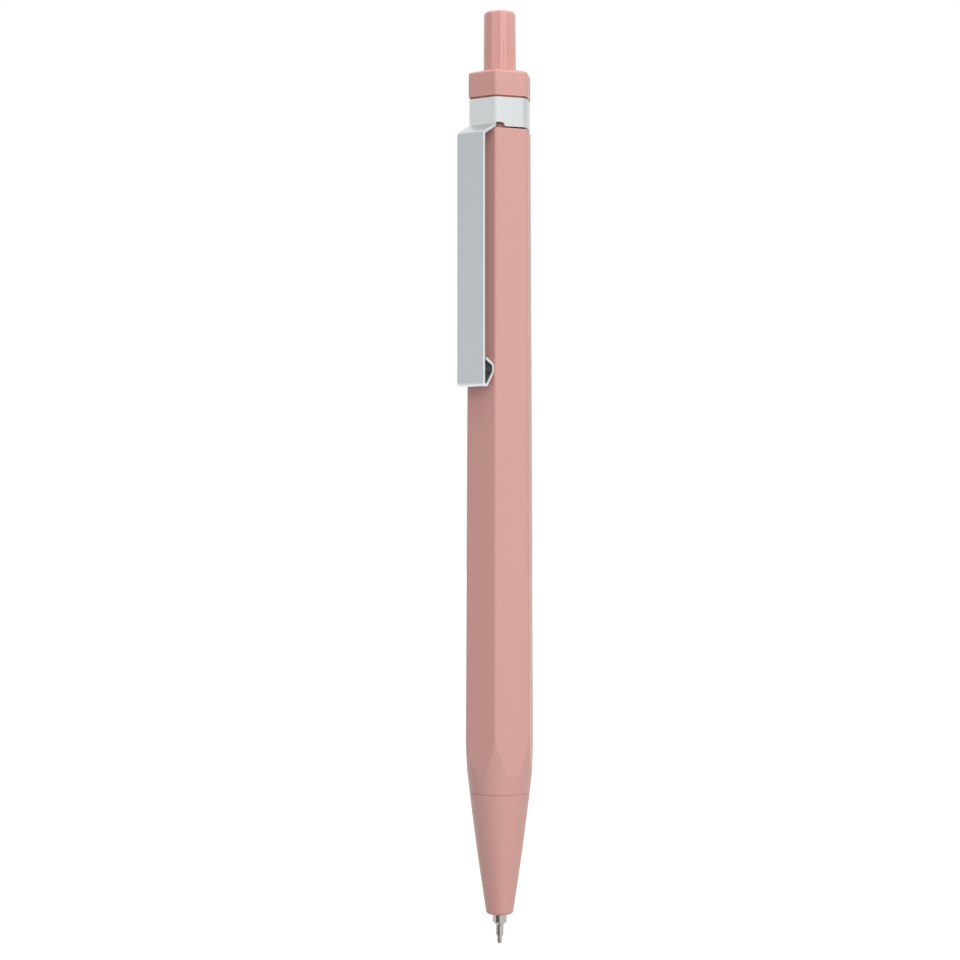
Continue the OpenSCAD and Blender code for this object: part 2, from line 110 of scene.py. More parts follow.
def open_piece(name):
    """Name the primitive that was just added, and open it in edit mode."""
    piece = bpy.context.active_object
    piece.name = name
    piece.data.name = name
    bpy.ops.object.transform_apply(location=True, rotation=True, scale=True)
    bpy.ops.object.mode_set(mode="EDIT")
    return piece


def pick(piece, kind, test):
    """Select what passes the test, given its middle and its direction or normal."""
    bpy.ops.object.mode_set(mode="EDIT")
    bpy.ops.mesh.select_mode(type=kind)
    bpy.ops.mesh.select_all(action="DESELECT")
    bpy.ops.object.mode_set(mode="OBJECT")
    mesh = piece.data
    if kind == "VERT":
        for vertex in mesh.vertices:
            vertex.select = test(vertex.co, None)
    elif kind == "EDGE":
        for edge in mesh.edges:
            first, last = (mesh.vertices[index].co for index in edge.vertices)
            edge.select = test((first + last) / 2, last - first)
    else:
        for face in mesh.polygons:
            face.select = test(face.center, face.normal)
    bpy.ops.object.mode_set(mode="EDIT")


def near(value, target, room=0.01):
    return abs(value - target) < room


def round_edges(piece, test, width, steps):
    """Bevel the edges that pass the test."""
    pick(piece, "EDGE", test)
    bpy.ops.mesh.bevel(offset_type="OFFSET", offset=width, segments=steps, affect="EDGES")


def face_outwards():
    """Turn all faces of the open piece outwards."""
    bpy.ops.mesh.select_all(action="SELECT")
    bpy.ops.mesh.normals_make_consistent(inside=False)


def apply_modifier(piece, kind, **settings):
    if bpy.context.mode != "OBJECT":
        bpy.ops.object.mode_set(mode="OBJECT")
    bpy.context.view_layer.objects.active = piece
    modifier = piece.modifiers.new(kind.title(), kind)
    for key, value in settings.items():
        setattr(modifier, key, value)
    bpy.ops.object.modifier_apply(modifier=modifier.name)


def combine(piece, tool, operation):
    """Cut a piece with a tool, join the two, or keep what they share."""
    apply_modifier(piece, "BOOLEAN", operation=operation, object=tool, solver="EXACT")
    bpy.data.objects.remove(tool, do_unlink=True)


def keep_flats(piece):
    """Weigh the normals by the size of the faces, so that flats look flat up to their edges."""
    apply_modifier(piece, "WEIGHTED_NORMAL", keep_sharp=True, weight=FULL_WEIGHT)


def finish_piece(piece, node, smooth_degrees):
    """Shade a piece, bring it to metres and let it stand for its CAD node."""
    deselect_all()
    piece.select_set(True)
    bpy.context.view_layer.objects.active = piece
    bpy.ops.object.shade_smooth_by_angle(angle=math.radians(smooth_degrees))
    piece.scale = (MM, MM, MM)
    bpy.ops.object.transform_apply(location=False, rotation=False, scale=True)
    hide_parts(node)
    print(f"{piece.name}: {len(piece.data.polygons)} faces, for {node}")


def hand_over(piece, body, node, smooth_degrees):
    """Finish a piece that moves as one with a body."""
    finish_piece(piece, node, smooth_degrees)
    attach(piece, body)


# %% [markdown]
# Round pieces are turned, as on a lathe: a profile of points is drawn by extruding one vertex
# from place to place, and is then spun once round the pen's axis. Where the seam closes, and on
# the axis itself, points fall together and are merged, and an edge left loose is deleted.
# Round stretches of a profile are arcs worked out from a centre and a radius.

# %% The lathe
LATHE_STEPS = 144
ARC_STEPS = 8
MERGE_DISTANCE = 0.0001


def arc(centre, radius, start, end, steps=ARC_STEPS):
    """Points on an arc of a profile, between two angles in degrees."""
    angles = [math.radians(start + (end - start) * step / steps) for step in range(steps + 1)]
    return [(centre[0] + radius * math.cos(a), centre[1] + radius * math.sin(a)) for a in angles]


def turn(name, profile, steps=LATHE_STEPS):
    """Turn a profile of radius and height points round the pen's axis."""
    deselect_all()
    radius, height = profile[0]
    bpy.ops.mesh.primitive_plane_add(size=1, location=(radius, 0, height))
    piece = open_piece(name)
    bpy.ops.mesh.select_mode(type="VERT")
    bpy.ops.mesh.select_all(action="SELECT")
    bpy.ops.mesh.merge(type="CENTER")
    for (r0, z0), (r1, z1) in zip(profile, profile[1:]):
        bpy.ops.mesh.extrude_vertices_move(TRANSFORM_OT_translate={"value": (r1 - r0, 0, z1 - z0)})
    bpy.ops.mesh.select_all(action="SELECT")
    bpy.ops.mesh.spin(steps=steps, angle=2 * math.pi, center=(0, 0, 0), axis=(0, 0, 1))
    bpy.ops.mesh.select_all(action="SELECT")
    bpy.ops.mesh.remove_doubles(threshold=MERGE_DISTANCE)
    bpy.ops.mesh.delete_loose()
    face_outwards()
    bpy.ops.object.mode_set(mode="OBJECT")
    return piece


# %% [markdown]
# The barrel, the clip's band and the collar all begin as the same hexagon. A six-sided cylinder
# is turned so that a flat faces the clip, its top is drawn in where the piece is drafted,
# and its upright edges are bevelled with many steps, so that the corners roll over softly.

# %% The hexagonal prism
CORNER_STEPS = 20


def hexagon_prism(name, across_flats, low, high, corner, top_scale=1.0, ends="NGON"):
    """A hexagonal prism between two heights, its corners rounded with a given radius."""
    deselect_all()
    bpy.ops.mesh.primitive_cylinder_add(
        vertices=FACETS, radius=across_flats / 2 / math.cos(HALF_FACET), depth=high - low,
        end_fill_type=ends, location=(0, 0, (low + high) / 2), rotation=(0, 0, HALF_FACET))
    piece = open_piece(name)
    pick(piece, "VERT", lambda spot, _: near(spot.z, high))
    bpy.ops.transform.resize(value=(top_scale, top_scale, 1), center_override=(0, 0, high))
    round_edges(piece, lambda middle, along: abs(along.z) > (high - low) / 2,
                corner * math.tan(HALF_FACET), CORNER_STEPS)
    return piece


# %% [markdown]
# ## The barrel
# The real barrel is one long moulding, drafted so that it slips off its core, with its lower
# end turned down to meet the nose. Where that cone cuts the flats it leaves shallow
# arches, and they are the barrel's most telling line. They could be drawn by hand, but a boolean
# makes them true: the drafted prism keeps only what it shares with a turned cone.
# A neck carries the clip's band, with a narrow undercut at its foot, which is the dark gap below
# the band. Weighted normals then keep the flats flat right up to their edges.

# %% Barrel
BARREL_ACROSS = 9.84
BARREL_TOP_ACROSS = 8.97
BARREL_CORNER = 0.6
SHOULDER_ROUND = 0.1
EDGE_STEPS = 3
NECK_ACROSS = 7.9
NECK_CORNER = 0.95
UNDERCUT_RADIUS = 3.58
UNDERCUT_HEIGHT = 1.1
NOSE_JOINT_RADIUS = 4.6
NOSE_END_RADIUS = 2.03
NOSE_BULGE = 0.1
JOINT_CHAMFER = 0.1
SPIGOT_RADIUS = 3.5
BORE_RADIUS = 3.0
SLEEVE_BORE_RADIUS = 3.3
FIT_GAP = 0.02
CLEAR = 1.0

nose_length = joint_height - nose_end
nose_widening = NOSE_JOINT_RADIUS - NOSE_END_RADIUS
# The bulge is a parabola, so its slope at either end is four times its height
bulge_slope = 4 * NOSE_BULGE
joint_slope = (nose_widening - bulge_slope) / nose_length

barrel = hexagon_prism("barrel_shell", BARREL_ACROSS, joint_height, shoulder_height, BARREL_CORNER,
                       top_scale=BARREL_TOP_ACROSS / BARREL_ACROSS)
round_edges(barrel, lambda middle, along: near(middle.z, shoulder_height), SHOULDER_ROUND, EDGE_STEPS)

cone_reach = shoulder_height + CLEAR - joint_height
turned_end = turn("turned_end", [
    (0, joint_height),
    (NOSE_JOINT_RADIUS - JOINT_CHAMFER, joint_height),
    (NOSE_JOINT_RADIUS + joint_slope * JOINT_CHAMFER, joint_height + JOINT_CHAMFER),
    (NOSE_JOINT_RADIUS + joint_slope * cone_reach, joint_height + cone_reach),
    (0, joint_height + cone_reach)])
combine(barrel, turned_end, "INTERSECT")
neck = hexagon_prism("neck", NECK_ACROSS, shoulder_height - CLEAR, neck_top, NECK_CORNER)
combine(barrel, neck, "UNION")
undercut = turn("undercut", [
    (UNDERCUT_RADIUS, shoulder_height),
    (BARREL_ACROSS, shoulder_height),
    (BARREL_ACROSS, shoulder_height + UNDERCUT_HEIGHT),
    (UNDERCUT_RADIUS, shoulder_height + UNDERCUT_HEIGHT),
    (UNDERCUT_RADIUS, shoulder_height)])
combine(barrel, undercut, "DIFFERENCE")

bore = turn("bore", [
    (0, joint_height - CLEAR),
    (SPIGOT_RADIUS + FIT_GAP, joint_height - CLEAR),
    (SPIGOT_RADIUS + FIT_GAP, spigot_top + FIT_GAP),
    (BORE_RADIUS, spigot_top + FIT_GAP),
    (BORE_RADIUS, sleeve_bottom - FIT_GAP),
    (SLEEVE_BORE_RADIUS, sleeve_bottom - FIT_GAP),
    (SLEEVE_BORE_RADIUS, neck_top + CLEAR),
    (0, neck_top + CLEAR)])
combine(barrel, bore, "DIFFERENCE")
hand_over(barrel, "case", "barrel", smooth_degrees=4)
keep_flats(barrel)

# %% [markdown]
# ## The nose cone
# The nose screws into the barrel and carries the cone on to a soft rounded end. Its side
# bulges by a tenth of a millimetre, enough to look full and not pinched. It is turned inside and
# out in one profile: mouth, rounded rim, side, joint chamfer, spigot, and the chamber that
# the spring sits in.

# %% Nose cone
RIM_ROUND = 0.45
MOUTH_RADIUS = 1.23
CHAMBER_RADIUS = 2.1
NOSE_STEPS = 16
spring_seat = spring_foot - FIT_GAP


def nose_side(share):
    """Radius and height of the nose's side, from its end at 0 to its joint at 1."""
    bulge = bulge_slope * share * (1 - share)
    return NOSE_END_RADIUS + nose_widening * share + bulge, nose_end + nose_length * share


end_angle = math.atan((nose_widening + bulge_slope) / nose_length)
rim_inset = RIM_ROUND * (1 - math.sin(end_angle)) / math.cos(end_angle)
nose = turn("nose_shell", [
    (MOUTH_RADIUS, nose_end),
    *arc((NOSE_END_RADIUS - rim_inset, nose_end + RIM_ROUND), RIM_ROUND, -90, -math.degrees(end_angle)),
    *[nose_side(step / NOSE_STEPS) for step in range(1, NOSE_STEPS)],
    nose_side(1 - JOINT_CHAMFER / nose_length),
    (NOSE_JOINT_RADIUS - JOINT_CHAMFER, joint_height),
    (SPIGOT_RADIUS, joint_height),
    (SPIGOT_RADIUS, spigot_top - JOINT_CHAMFER),
    (SPIGOT_RADIUS - JOINT_CHAMFER, spigot_top),
    (CHAMBER_RADIUS, spigot_top),
    (CHAMBER_RADIUS, spring_seat),
    (MOUTH_RADIUS, spring_seat),
    (MOUTH_RADIUS, nose_end)])
hand_over(nose, "case", "nose_cone", smooth_degrees=20)

# %% [markdown]
# ## The clip
# The clip and its band are one stamped sheet. A solid block could be cut to this shape, but
# sheet metal is easier to model the way it is made: first a thin surface, an open hexagonal tube
# for the band, then its front edge drawn out step by step along the bends of ramp, arm, fold
# and bumper. The surface gets the sheet's thickness at the end, and its cut edges are
# broken a little, so that they catch the light.
# Two relief notches let the band's corners bend beside the arm's root.

# %% The line that the sheet follows
SHEET = 0.45
BAND_CLEAR = 0.04
BAND_CORNER = 1.175
CLIP_WIDTH = 4.95
CLIP_REACH = 7.429
CLIP_LENGTH = 39.3
RAMP_DROP = 1.5
RAMP_IN_BEND = 0.45
RAMP_OUT_BEND = 0.7
FOLD_BEND = 0.4
FOLD_WIDTH = 0.7
BUMPER_BEND = 0.6
BUMPER_GAP = 0.05
HEEL_RISE = 2.05
BUMPER_RISE = 3.1
TAIL_RISE = 0.9
TAIL_GAP = 0.1
NOTCH_RISE = 0.6
BEND_STEPS = 8

band_across = NECK_ACROSS + 2 * BAND_CLEAR + SHEET
band_face = band_across / 2
arm_face = CLIP_REACH - SHEET / 2
ramp_height = band_bottom + SHEET / 2
fold_height = band_bottom - CLIP_LENGTH + SHEET / 2
heel_height = fold_height + HEEL_RISE
bumper_height = fold_height + BUMPER_RISE
heel_share = (heel_height - joint_height) / (shoulder_height - joint_height)
barrel_face = (BARREL_ACROSS + (BARREL_TOP_ACROSS - BARREL_ACROSS) * heel_share) / 2
bumper_face = barrel_face + BUMPER_GAP + SHEET / 2

# Distance from the pen's axis and height of each fold line, with its bend radius
fold_lines = [
    (band_face, ramp_height, RAMP_IN_BEND),
    (arm_face, ramp_height - RAMP_DROP, RAMP_OUT_BEND),
    (arm_face, fold_height, FOLD_BEND),
    (arm_face - FOLD_WIDTH, fold_height, FOLD_BEND),
    (bumper_face, heel_height, BUMPER_BEND),
    (bumper_face, bumper_height, BUMPER_BEND)]
sheet_start = (band_face, band_bottom + NOTCH_RISE)
sheet_end = (arm_face - SHEET - TAIL_GAP, bumper_height + TAIL_RISE)


def bend(before, corner, after):
    """Points of a round bend at a fold line, from the stretch before it to the one after."""
    here = Vector(corner[:2])
    back = (Vector(before[:2]) - here).normalized()
    ahead = (Vector(after[:2]) - here).normalized()
    half = back.angle(ahead) / 2
    centre = here + (back + ahead).normalized() * corner[2] / math.sin(half)
    spoke = here + back * corner[2] / math.tan(half) - centre
    sweep = math.copysign(math.pi - 2 * half, back.cross(ahead))
    turns = [Matrix.Rotation(-sweep * step / BEND_STEPS, 2) for step in range(BEND_STEPS + 1)]
    return [centre + matrix @ spoke for matrix in turns]


stations = [sheet_start, *fold_lines, sheet_end]
sheet_line = [Vector(sheet_start)]
for before, corner, after in zip(stations, stations[1:], stations[2:]):
    sheet_line += bend(before, corner, after)
sheet_line.append(Vector(sheet_end))
print(f"The sheet follows {len(sheet_line)} points down to {min(point.y for point in sheet_line):.2f} mm")

# %% [markdown]
# The band starts as an open hexagonal tube. A few upright cuts beside its front corners make the
# columns for the notches, and the lower edge rises across the front and comes down again
# in an arc past each corner. Then the raised front edge is extruded from point to point. In
# the first bend it flattens from the band's rounded corners to the plane of the arm.
# The sheet has four material slots: satin on the arm; bare metal on the cut rim, painted lighter there as
# a highlight, with the same painted highlight along the lower edge of the fold; a darker, rougher copy of
# the steel on the side that faces the barrel, which is painted shade; and a lighter copy on the band and
# the ramp, which is a painted reflection.

# %% Clip
EDGE_BREAK = 0.06
BREAK_STEPS = 2
SHARP_EDGE = math.radians(50)
NOTCH_START = math.radians(38)
NOTCH_END = math.radians(46)
NOTCH_CUTS = 5
COLUMN_DIGITS = 4
COLUMN_ROOM = 0.001
FLATTEN_STEPS = 6
# Four material slots: satin, bare metal with a painted highlight, a darker copy as painted shade and a
# lighter copy as a painted reflection.
SHEET_SLOTS = range(4)
SATIN, BARE_AND_HIGHLIGHT, ROUGH_PAINTED_SHADE, PAINTED_REFLECTION = SHEET_SLOTS
# Height of the strip at the foot of the fold that gets the painted highlight.
HIGHLIGHT_HEIGHT = 0.28


def turn_from_clip(spot):
    """Angle round the pen between a point and the middle of the clip's side."""
    return abs(math.atan2(spot.x, -spot.y))


clip = hexagon_prism("clip_sheet", band_across, band_bottom, band_top, BAND_CORNER, ends="NOTHING")
for side in (-1, 1):
    for cut in range(NOTCH_CUTS + 1):
        angle = side * (NOTCH_START + (NOTCH_END - NOTCH_START) * cut / NOTCH_CUTS)
        bpy.ops.mesh.select_all(action="SELECT")
        bpy.ops.mesh.bisect(plane_co=(0, 0, 0), plane_no=(math.cos(angle), math.sin(angle), 0))
bpy.ops.object.mode_set(mode="OBJECT")
columns = sorted({round(turn_from_clip(vertex.co), COLUMN_DIGITS) for vertex in clip.data.vertices})
for column in columns:
    share = max(0, (column - NOTCH_START) / (NOTCH_END - NOTCH_START))
    if share < 1:
        pick(clip, "VERT", lambda spot, _: (near(spot.z, band_bottom)
                                            and near(turn_from_clip(spot), column, COLUMN_ROOM)))
        bpy.ops.transform.translate(value=(0, 0, NOTCH_RISE * math.sqrt(1 - share ** 2)))

pick(clip, "EDGE", lambda middle, along: (near(middle.z, sheet_start[1])
                                          and turn_from_clip(middle) < HALF_FACET))
bpy.ops.object.mode_set(mode="OBJECT")
root = [vertex.co.x for vertex in clip.data.vertices if vertex.select]
width = max(root) - min(root)
widening = (CLIP_WIDTH / width) ** (1 / FLATTEN_STEPS)
bpy.ops.object.mode_set(mode="EDIT")
for index, (here, there) in enumerate(zip(sheet_line, sheet_line[1:])):
    step = there - here
    bpy.ops.mesh.extrude_edges_move(TRANSFORM_OT_translate={"value": (0, -step.x, step.y)})
    if index < FLATTEN_STEPS:
        flatter = (FLATTEN_STEPS - index - 1) / (FLATTEN_STEPS - index)
        bpy.ops.transform.resize(value=(widening, flatter, 1), center_override=(0, -there.x, there.y))
face_outwards()
bpy.ops.object.mode_set(mode="OBJECT")
for _ in SHEET_SLOTS:
    bpy.ops.object.material_slot_add()
for face in clip.data.polygons:
    face.material_index = SATIN
# The inner side of the sheet gets the darker, rougher copy of the steel, painted shade, and the cut rim
# gets the bare metal with its painted highlight.
apply_modifier(clip, "SOLIDIFY", thickness=SHEET, offset=0, use_even_offset=True,
               material_offset=ROUGH_PAINTED_SHADE, material_offset_rim=BARE_AND_HIGHLIGHT)
ramp_end = ramp_height - RAMP_DROP
highlight_top = fold_height - SHEET / 2 + HIGHLIGHT_HEIGHT
# Faces above the ramp's end get the lighter copy, a painted reflection, and faces at the foot of the fold
# get the bare tone as a painted highlight.
for face in clip.data.polygons:
    if face.material_index == SATIN and face.center.z > ramp_end:
        face.material_index = PAINTED_REFLECTION
    elif face.material_index == SATIN and face.center.z < highlight_top:
        face.material_index = BARE_AND_HIGHLIGHT
apply_modifier(clip, "BEVEL", width=EDGE_BREAK, segments=BREAK_STEPS, limit_method="ANGLE",
               angle_limit=SHARP_EDGE, material=BARE_AND_HIGHLIGHT)
hand_over(clip, "case", "clip", smooth_degrees=30)
keep_flats(clip)
slot_counts = [sum(face.material_index == slot for face in clip.data.polygons) for slot in SHEET_SLOTS]
print(f"Arm root {width:.2f} mm wide, faces in each finish {slot_counts}")

# %% [markdown]
# ## The collar
# A short hexagonal moulding closes the barrel above the band and guides the button. Its top edge
# is rounded over, and the top rises a little further to the rim round the button, which
# is made by extruding the top face and drawing it in. A spigot below holds the collar in the bore.

# %% Collar
COLLAR_ACROSS = 8.93
COLLAR_ROUND = 0.4
ROUND_STEPS = 6
RIM_RISE = 0.35
RIM_WIDTH = 0.4
BUTTON_RADIUS = 2.48
SLIDE_GAP = 0.05
EDGE_SOFT = 0.08

hole_radius = BUTTON_RADIUS + SLIDE_GAP
collar_rise = collar_top - RIM_RISE
rim_share = (hole_radius + RIM_WIDTH) / (COLLAR_ACROSS / 2 - COLLAR_ROUND)

collar = hexagon_prism("collar_moulding", COLLAR_ACROSS, collar_bottom, collar_rise, BARREL_CORNER)
round_edges(collar, lambda middle, along: near(middle.z, collar_bottom), EDGE_SOFT, EDGE_STEPS)
round_edges(collar, lambda middle, along: near(middle.z, collar_rise), COLLAR_ROUND, ROUND_STEPS)
pick(collar, "FACE", lambda middle, normal: near(middle.z, collar_rise) and near(normal.z, 1))
bpy.ops.mesh.extrude_region_move(TRANSFORM_OT_translate={"value": (0, 0, RIM_RISE)})
bpy.ops.transform.resize(value=(rim_share, rim_share, 1), center_override=(0, 0, collar_top))
spigot = turn("spigot", [
    (0, collar_foot),
    (SLEEVE_BORE_RADIUS - FIT_GAP, collar_foot),
    (SLEEVE_BORE_RADIUS - FIT_GAP, collar_bottom + CLEAR),
    (0, collar_bottom + CLEAR)])
combine(collar, spigot, "UNION")
hole = turn("hole", [
    (0, collar_foot - CLEAR),
    (hole_radius, collar_foot - CLEAR),
    (hole_radius, collar_top - EDGE_SOFT),
    (hole_radius + EDGE_SOFT, collar_top),
    (hole_radius + EDGE_SOFT, collar_top + CLEAR),
    (0, collar_top + CLEAR)])
combine(collar, hole, "DIFFERENCE")
hand_over(collar, "case", "top_collar", smooth_degrees=25)
keep_flats(collar)

# %% [markdown]
# ## The push button
# The button is a slim moulding with flat sides, a fine groove along each edge and a rounded top.
# A faint seam runs up from the collar in the middle of two opposite sides, where the mould parts.
# The button starts as a turned piece with many columns. Each column is then drawn in by its own
# amount, so that the columns of one side lie in one plane and those at the edges form the groove.

# %% Push button
BUTTON_TOP_RADIUS = 2.405
BUTTON_ROUND = 0.5
BUTTON_SIDES = 12
BUTTON_TURN = math.radians(6)
COLUMNS_PER_SIDE = 20
GROOVE_DEPTH = 0.09
SEAM_TURN = math.radians(-39)
SEAM_RISE = 4.6
SEAM_DEPTH = 0.07
SOCKET_RADIUS = 1.52
socket_top = span("thrust_cam")[1] + FIT_GAP

seam_share = SEAM_RISE / (button_top - BUTTON_ROUND - collar_top)
seam_top_radius = BUTTON_RADIUS + (BUTTON_TOP_RADIUS - BUTTON_RADIUS) * seam_share
top_centre = (BUTTON_TOP_RADIUS - BUTTON_ROUND, button_top - BUTTON_ROUND)
button = turn("button_moulding", [
    (SOCKET_RADIUS, button_foot),
    (BUTTON_RADIUS, button_foot),
    (BUTTON_RADIUS, collar_top),
    (seam_top_radius, collar_top + SEAM_RISE),
    *arc(top_centre, BUTTON_ROUND, 0, 90, steps=10),
    (0, button_top),
    (0, socket_top),
    (SOCKET_RADIUS, socket_top),
    (SOCKET_RADIUS, button_foot)], steps=BUTTON_SIDES * COLUMNS_PER_SIDE)

side_turn = 2 * math.pi / BUTTON_SIDES
column_turn = side_turn / COLUMNS_PER_SIDE
skin_limit = SOCKET_RADIUS + FIT_GAP


def steps_from_edge(spot):
    """How many columns a point lies from the nearest edge between two sides."""
    column = round((math.atan2(spot.y, spot.x) - BUTTON_TURN) / column_turn) % COLUMNS_PER_SIDE
    return min(column, COLUMNS_PER_SIDE - column)


def on_seam(spot):
    """Whether a point lies in the column of one of the two seams."""
    column = round((math.atan2(spot.y, spot.x) - SEAM_TURN) / column_turn)
    return column % round(math.pi / column_turn) == 0


def outside(spot):
    """Whether a point lies on the outer skin and not in the socket."""
    return math.hypot(spot.x, spot.y) > skin_limit


for column in range(COLUMNS_PER_SIDE // 2 + 1):
    reach = math.cos(side_turn / 2) / math.cos(side_turn / 2 - column * column_turn)
    if column == 0:
        reach -= GROOVE_DEPTH / BUTTON_RADIUS
    pick(button, "VERT", lambda spot, _: outside(spot) and steps_from_edge(spot) == column)
    bpy.ops.transform.resize(value=(reach, reach, 1), center_override=(0, 0, 0))
reach = 1 - SEAM_DEPTH / BUTTON_RADIUS
pick(button, "VERT", lambda spot, _: (outside(spot) and on_seam(spot)
                                      and spot.z < collar_top + SEAM_RISE - FIT_GAP))
bpy.ops.transform.resize(value=(reach, reach, 1), center_override=(0, 0, 0))
face_outwards()
hand_over(button, "button", "push_button", smooth_degrees=12)

# %% [markdown]
# ## The point
# The metal point is turned from rod: a thin end whose lip traps the ball, a short cone, a slim
# front, a step, and the shank that slides through the nose. The steps get small rounds here, since
# on polished metal an edge is seen only by the light that it catches.

# %% Point
BALL_RADIUS = 0.35
BALL_GAP = 0.01
LIP_WIDTH = 0.05
BALL_SHARE = 0.6
TIP_LENGTH = 1.05
TIP_CONE_LENGTH = 0.45
NEEDLE_RADIUS = 0.62
NEEDLE_LENGTH = 2.9
SHANK_RADIUS = 1.13
PLUG_STEP = 0.2
CHANNEL_RADIUS = 0.36
STEP_ROUND = 0.12
STEP_SLOPE = 45
POINT_STEPS = 96
holder_front = span("tip_holder")[0]
plug_end = span("point_housing")[1]

lip_height = BALL_RADIUS * BALL_SHARE
lip_radius = BALL_RADIUS + LIP_WIDTH
seat_radius = BALL_RADIUS + BALL_GAP
lip_angle = math.degrees(math.asin((lip_height - BALL_RADIUS) / seat_radius))
step_height = NEEDLE_LENGTH + (SHANK_RADIUS - NEEDLE_RADIUS) / math.tan(math.radians(STEP_SLOPE))
feed_radius = BALL_RADIUS / 2
feed_angle = math.degrees(math.acos(feed_radius / seat_radius))
round_rise = STEP_ROUND * math.tan(math.radians(STEP_SLOPE / 2))
point = turn("point_turned", [
    *arc((0, BALL_RADIUS), seat_radius, lip_angle, feed_angle, steps=6),
    (feed_radius, NEEDLE_LENGTH),
    (CHANNEL_RADIUS, NEEDLE_LENGTH),
    (CHANNEL_RADIUS, plug_end),
    (SHANK_RADIUS - PLUG_STEP, plug_end),
    (SHANK_RADIUS - PLUG_STEP, holder_front),
    (SHANK_RADIUS, holder_front),
    *arc((SHANK_RADIUS - STEP_ROUND, step_height + round_rise), STEP_ROUND, 0, -STEP_SLOPE, steps=5),
    (NEEDLE_RADIUS, NEEDLE_LENGTH),
    (NEEDLE_RADIUS, TIP_LENGTH + TIP_CONE_LENGTH),
    (lip_radius, TIP_LENGTH),
    (lip_radius, lip_height + LIP_WIDTH),
    (BALL_RADIUS + LIP_WIDTH / 2, lip_height),
    (seat_radius * math.cos(math.radians(lip_angle)), lip_height)], steps=POINT_STEPS)
hand_over(point, "refill", "point_housing", smooth_degrees=25)

# %% [markdown]
# ## The return spring
# The spring pushes the refill back into the pen. It is wound as a coiling machine winds it: a small disc,
# the section of the wire, is extruded step by step, and each step lifts it and turns it further round the
# axis. The first and last turns lie closed, wire on wire, so that the ends press evenly. The spring's
# foot stays with the case and its head goes with the refill.

# %% Return spring
WIRE = 0.3
WIRE_SIDES = 10
SPRING_TURNS = 14
CLOSED_TURNS = 1.25
TURN_STEPS = 24

coil_radius = CHAMBER_RADIUS - 2 * SLIDE_GAP - WIRE / 2
closed_pitch = WIRE + FIT_GAP
open_rise = spring_head - spring_foot - WIRE - 2 * CLOSED_TURNS * closed_pitch
open_pitch = open_rise / (SPRING_TURNS - 2 * CLOSED_TURNS)

deselect_all()
bpy.ops.mesh.primitive_circle_add(vertices=WIRE_SIDES, radius=WIRE / 2, fill_type="NGON",
                                  location=(coil_radius, 0, spring_foot + WIRE / 2),
                                  rotation=(math.pi / 2, 0, 0))
spring = open_piece("spring_wound")
bpy.ops.mesh.select_all(action="SELECT")
for step in range(SPRING_TURNS * TURN_STEPS):
    turns_done = (step + 0.5) / TURN_STEPS
    near_end = min(turns_done, SPRING_TURNS - turns_done) < CLOSED_TURNS
    lift = (closed_pitch if near_end else open_pitch) / TURN_STEPS
    bpy.ops.mesh.extrude_region_move(TRANSFORM_OT_translate={"value": (0, 0, lift)})
    bpy.ops.transform.rotate(value=2 * math.pi / TURN_STEPS, orient_axis="Z", center_override=(0, 0, 0))
face_outwards()
finish_piece(spring, "return_spring", smooth_degrees=50)
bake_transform(spring)
print(f"Pitch {open_pitch:.2f} mm between the closed ends")

# %% [markdown]
# ## Finishes
# Two effects come back in many materials, so each is a node group with its own inputs.
# The first is moulded plastic: melt that flowed along the pen leaves faint streaks of tone, and
# the mould's fine spark texture leaves a grain that breaks up the gloss. Both read Object
# coordinates, which are metres here, so a scale of 9000 is a grain of about a tenth of a millimetre.

# %% Helpers for nodes
NOISE_MIDDLE = 0.5
SURFACE_OUTPUTS = {
    "Colour": "NodeSocketColor", "Roughness": "NodeSocketFloat", "Height": "NodeSocketFloat"}


def add_node(tree, kind, **settings):
    node = tree.nodes.new(kind)
    for key, value in settings.items():
        setattr(node, key, value)
    return node


def new_group(name, inputs, outputs):
    """A shader node group with named sockets, and its two end nodes."""
    group = bpy.data.node_groups.new(name, "ShaderNodeTree")
    for label, kind in inputs.items():
        group.interface.new_socket(label, in_out="INPUT", socket_type=kind)
    for label, kind in outputs.items():
        group.interface.new_socket(label, in_out="OUTPUT", socket_type=kind)
    return group, group.nodes.new("NodeGroupInput"), group.nodes.new("NodeGroupOutput")


def noise(tree, vector, detail, scale=1.0):
    node = add_node(tree, "ShaderNodeTexNoise")
    node.inputs["Scale"].default_value = scale
    node.inputs["Detail"].default_value = detail
    tree.links.new(vector, node.inputs["Vector"])
    return node


def spread(tree, value, amount, middle):
    """Turn a noise value into one that swings by an amount round a middle value."""
    centred = add_node(tree, "ShaderNodeMath", operation="SUBTRACT")
    tree.links.new(value, centred.inputs[0])
    centred.inputs[1].default_value = NOISE_MIDDLE
    swing = add_node(tree, "ShaderNodeMath", operation="MULTIPLY_ADD")
    tree.links.new(centred.outputs[0], swing.inputs[0])
    for socket, source in zip((swing.inputs[1], swing.inputs[2]), (amount, middle)):
        if isinstance(source, float):
            socket.default_value = source
        else:
            tree.links.new(source, socket)
    return swing.outputs[0]


def toned(tree, colour, tone):
    """A colour made lighter or darker by a tone round one."""
    scaled = add_node(tree, "ShaderNodeVectorMath", operation="SCALE")
    tree.links.new(colour, scaled.inputs[0])
    tree.links.new(tone, scaled.inputs["Scale"])
    return scaled.outputs[0]


# %% Moulded plastic group
FLOW_STRETCH = (1, 1, 0.15)
FLOW_SCALE = 260
FLOW_DETAIL = 3
GRAIN_DETAIL = 2
GRAIN_GLOSS = 0.2

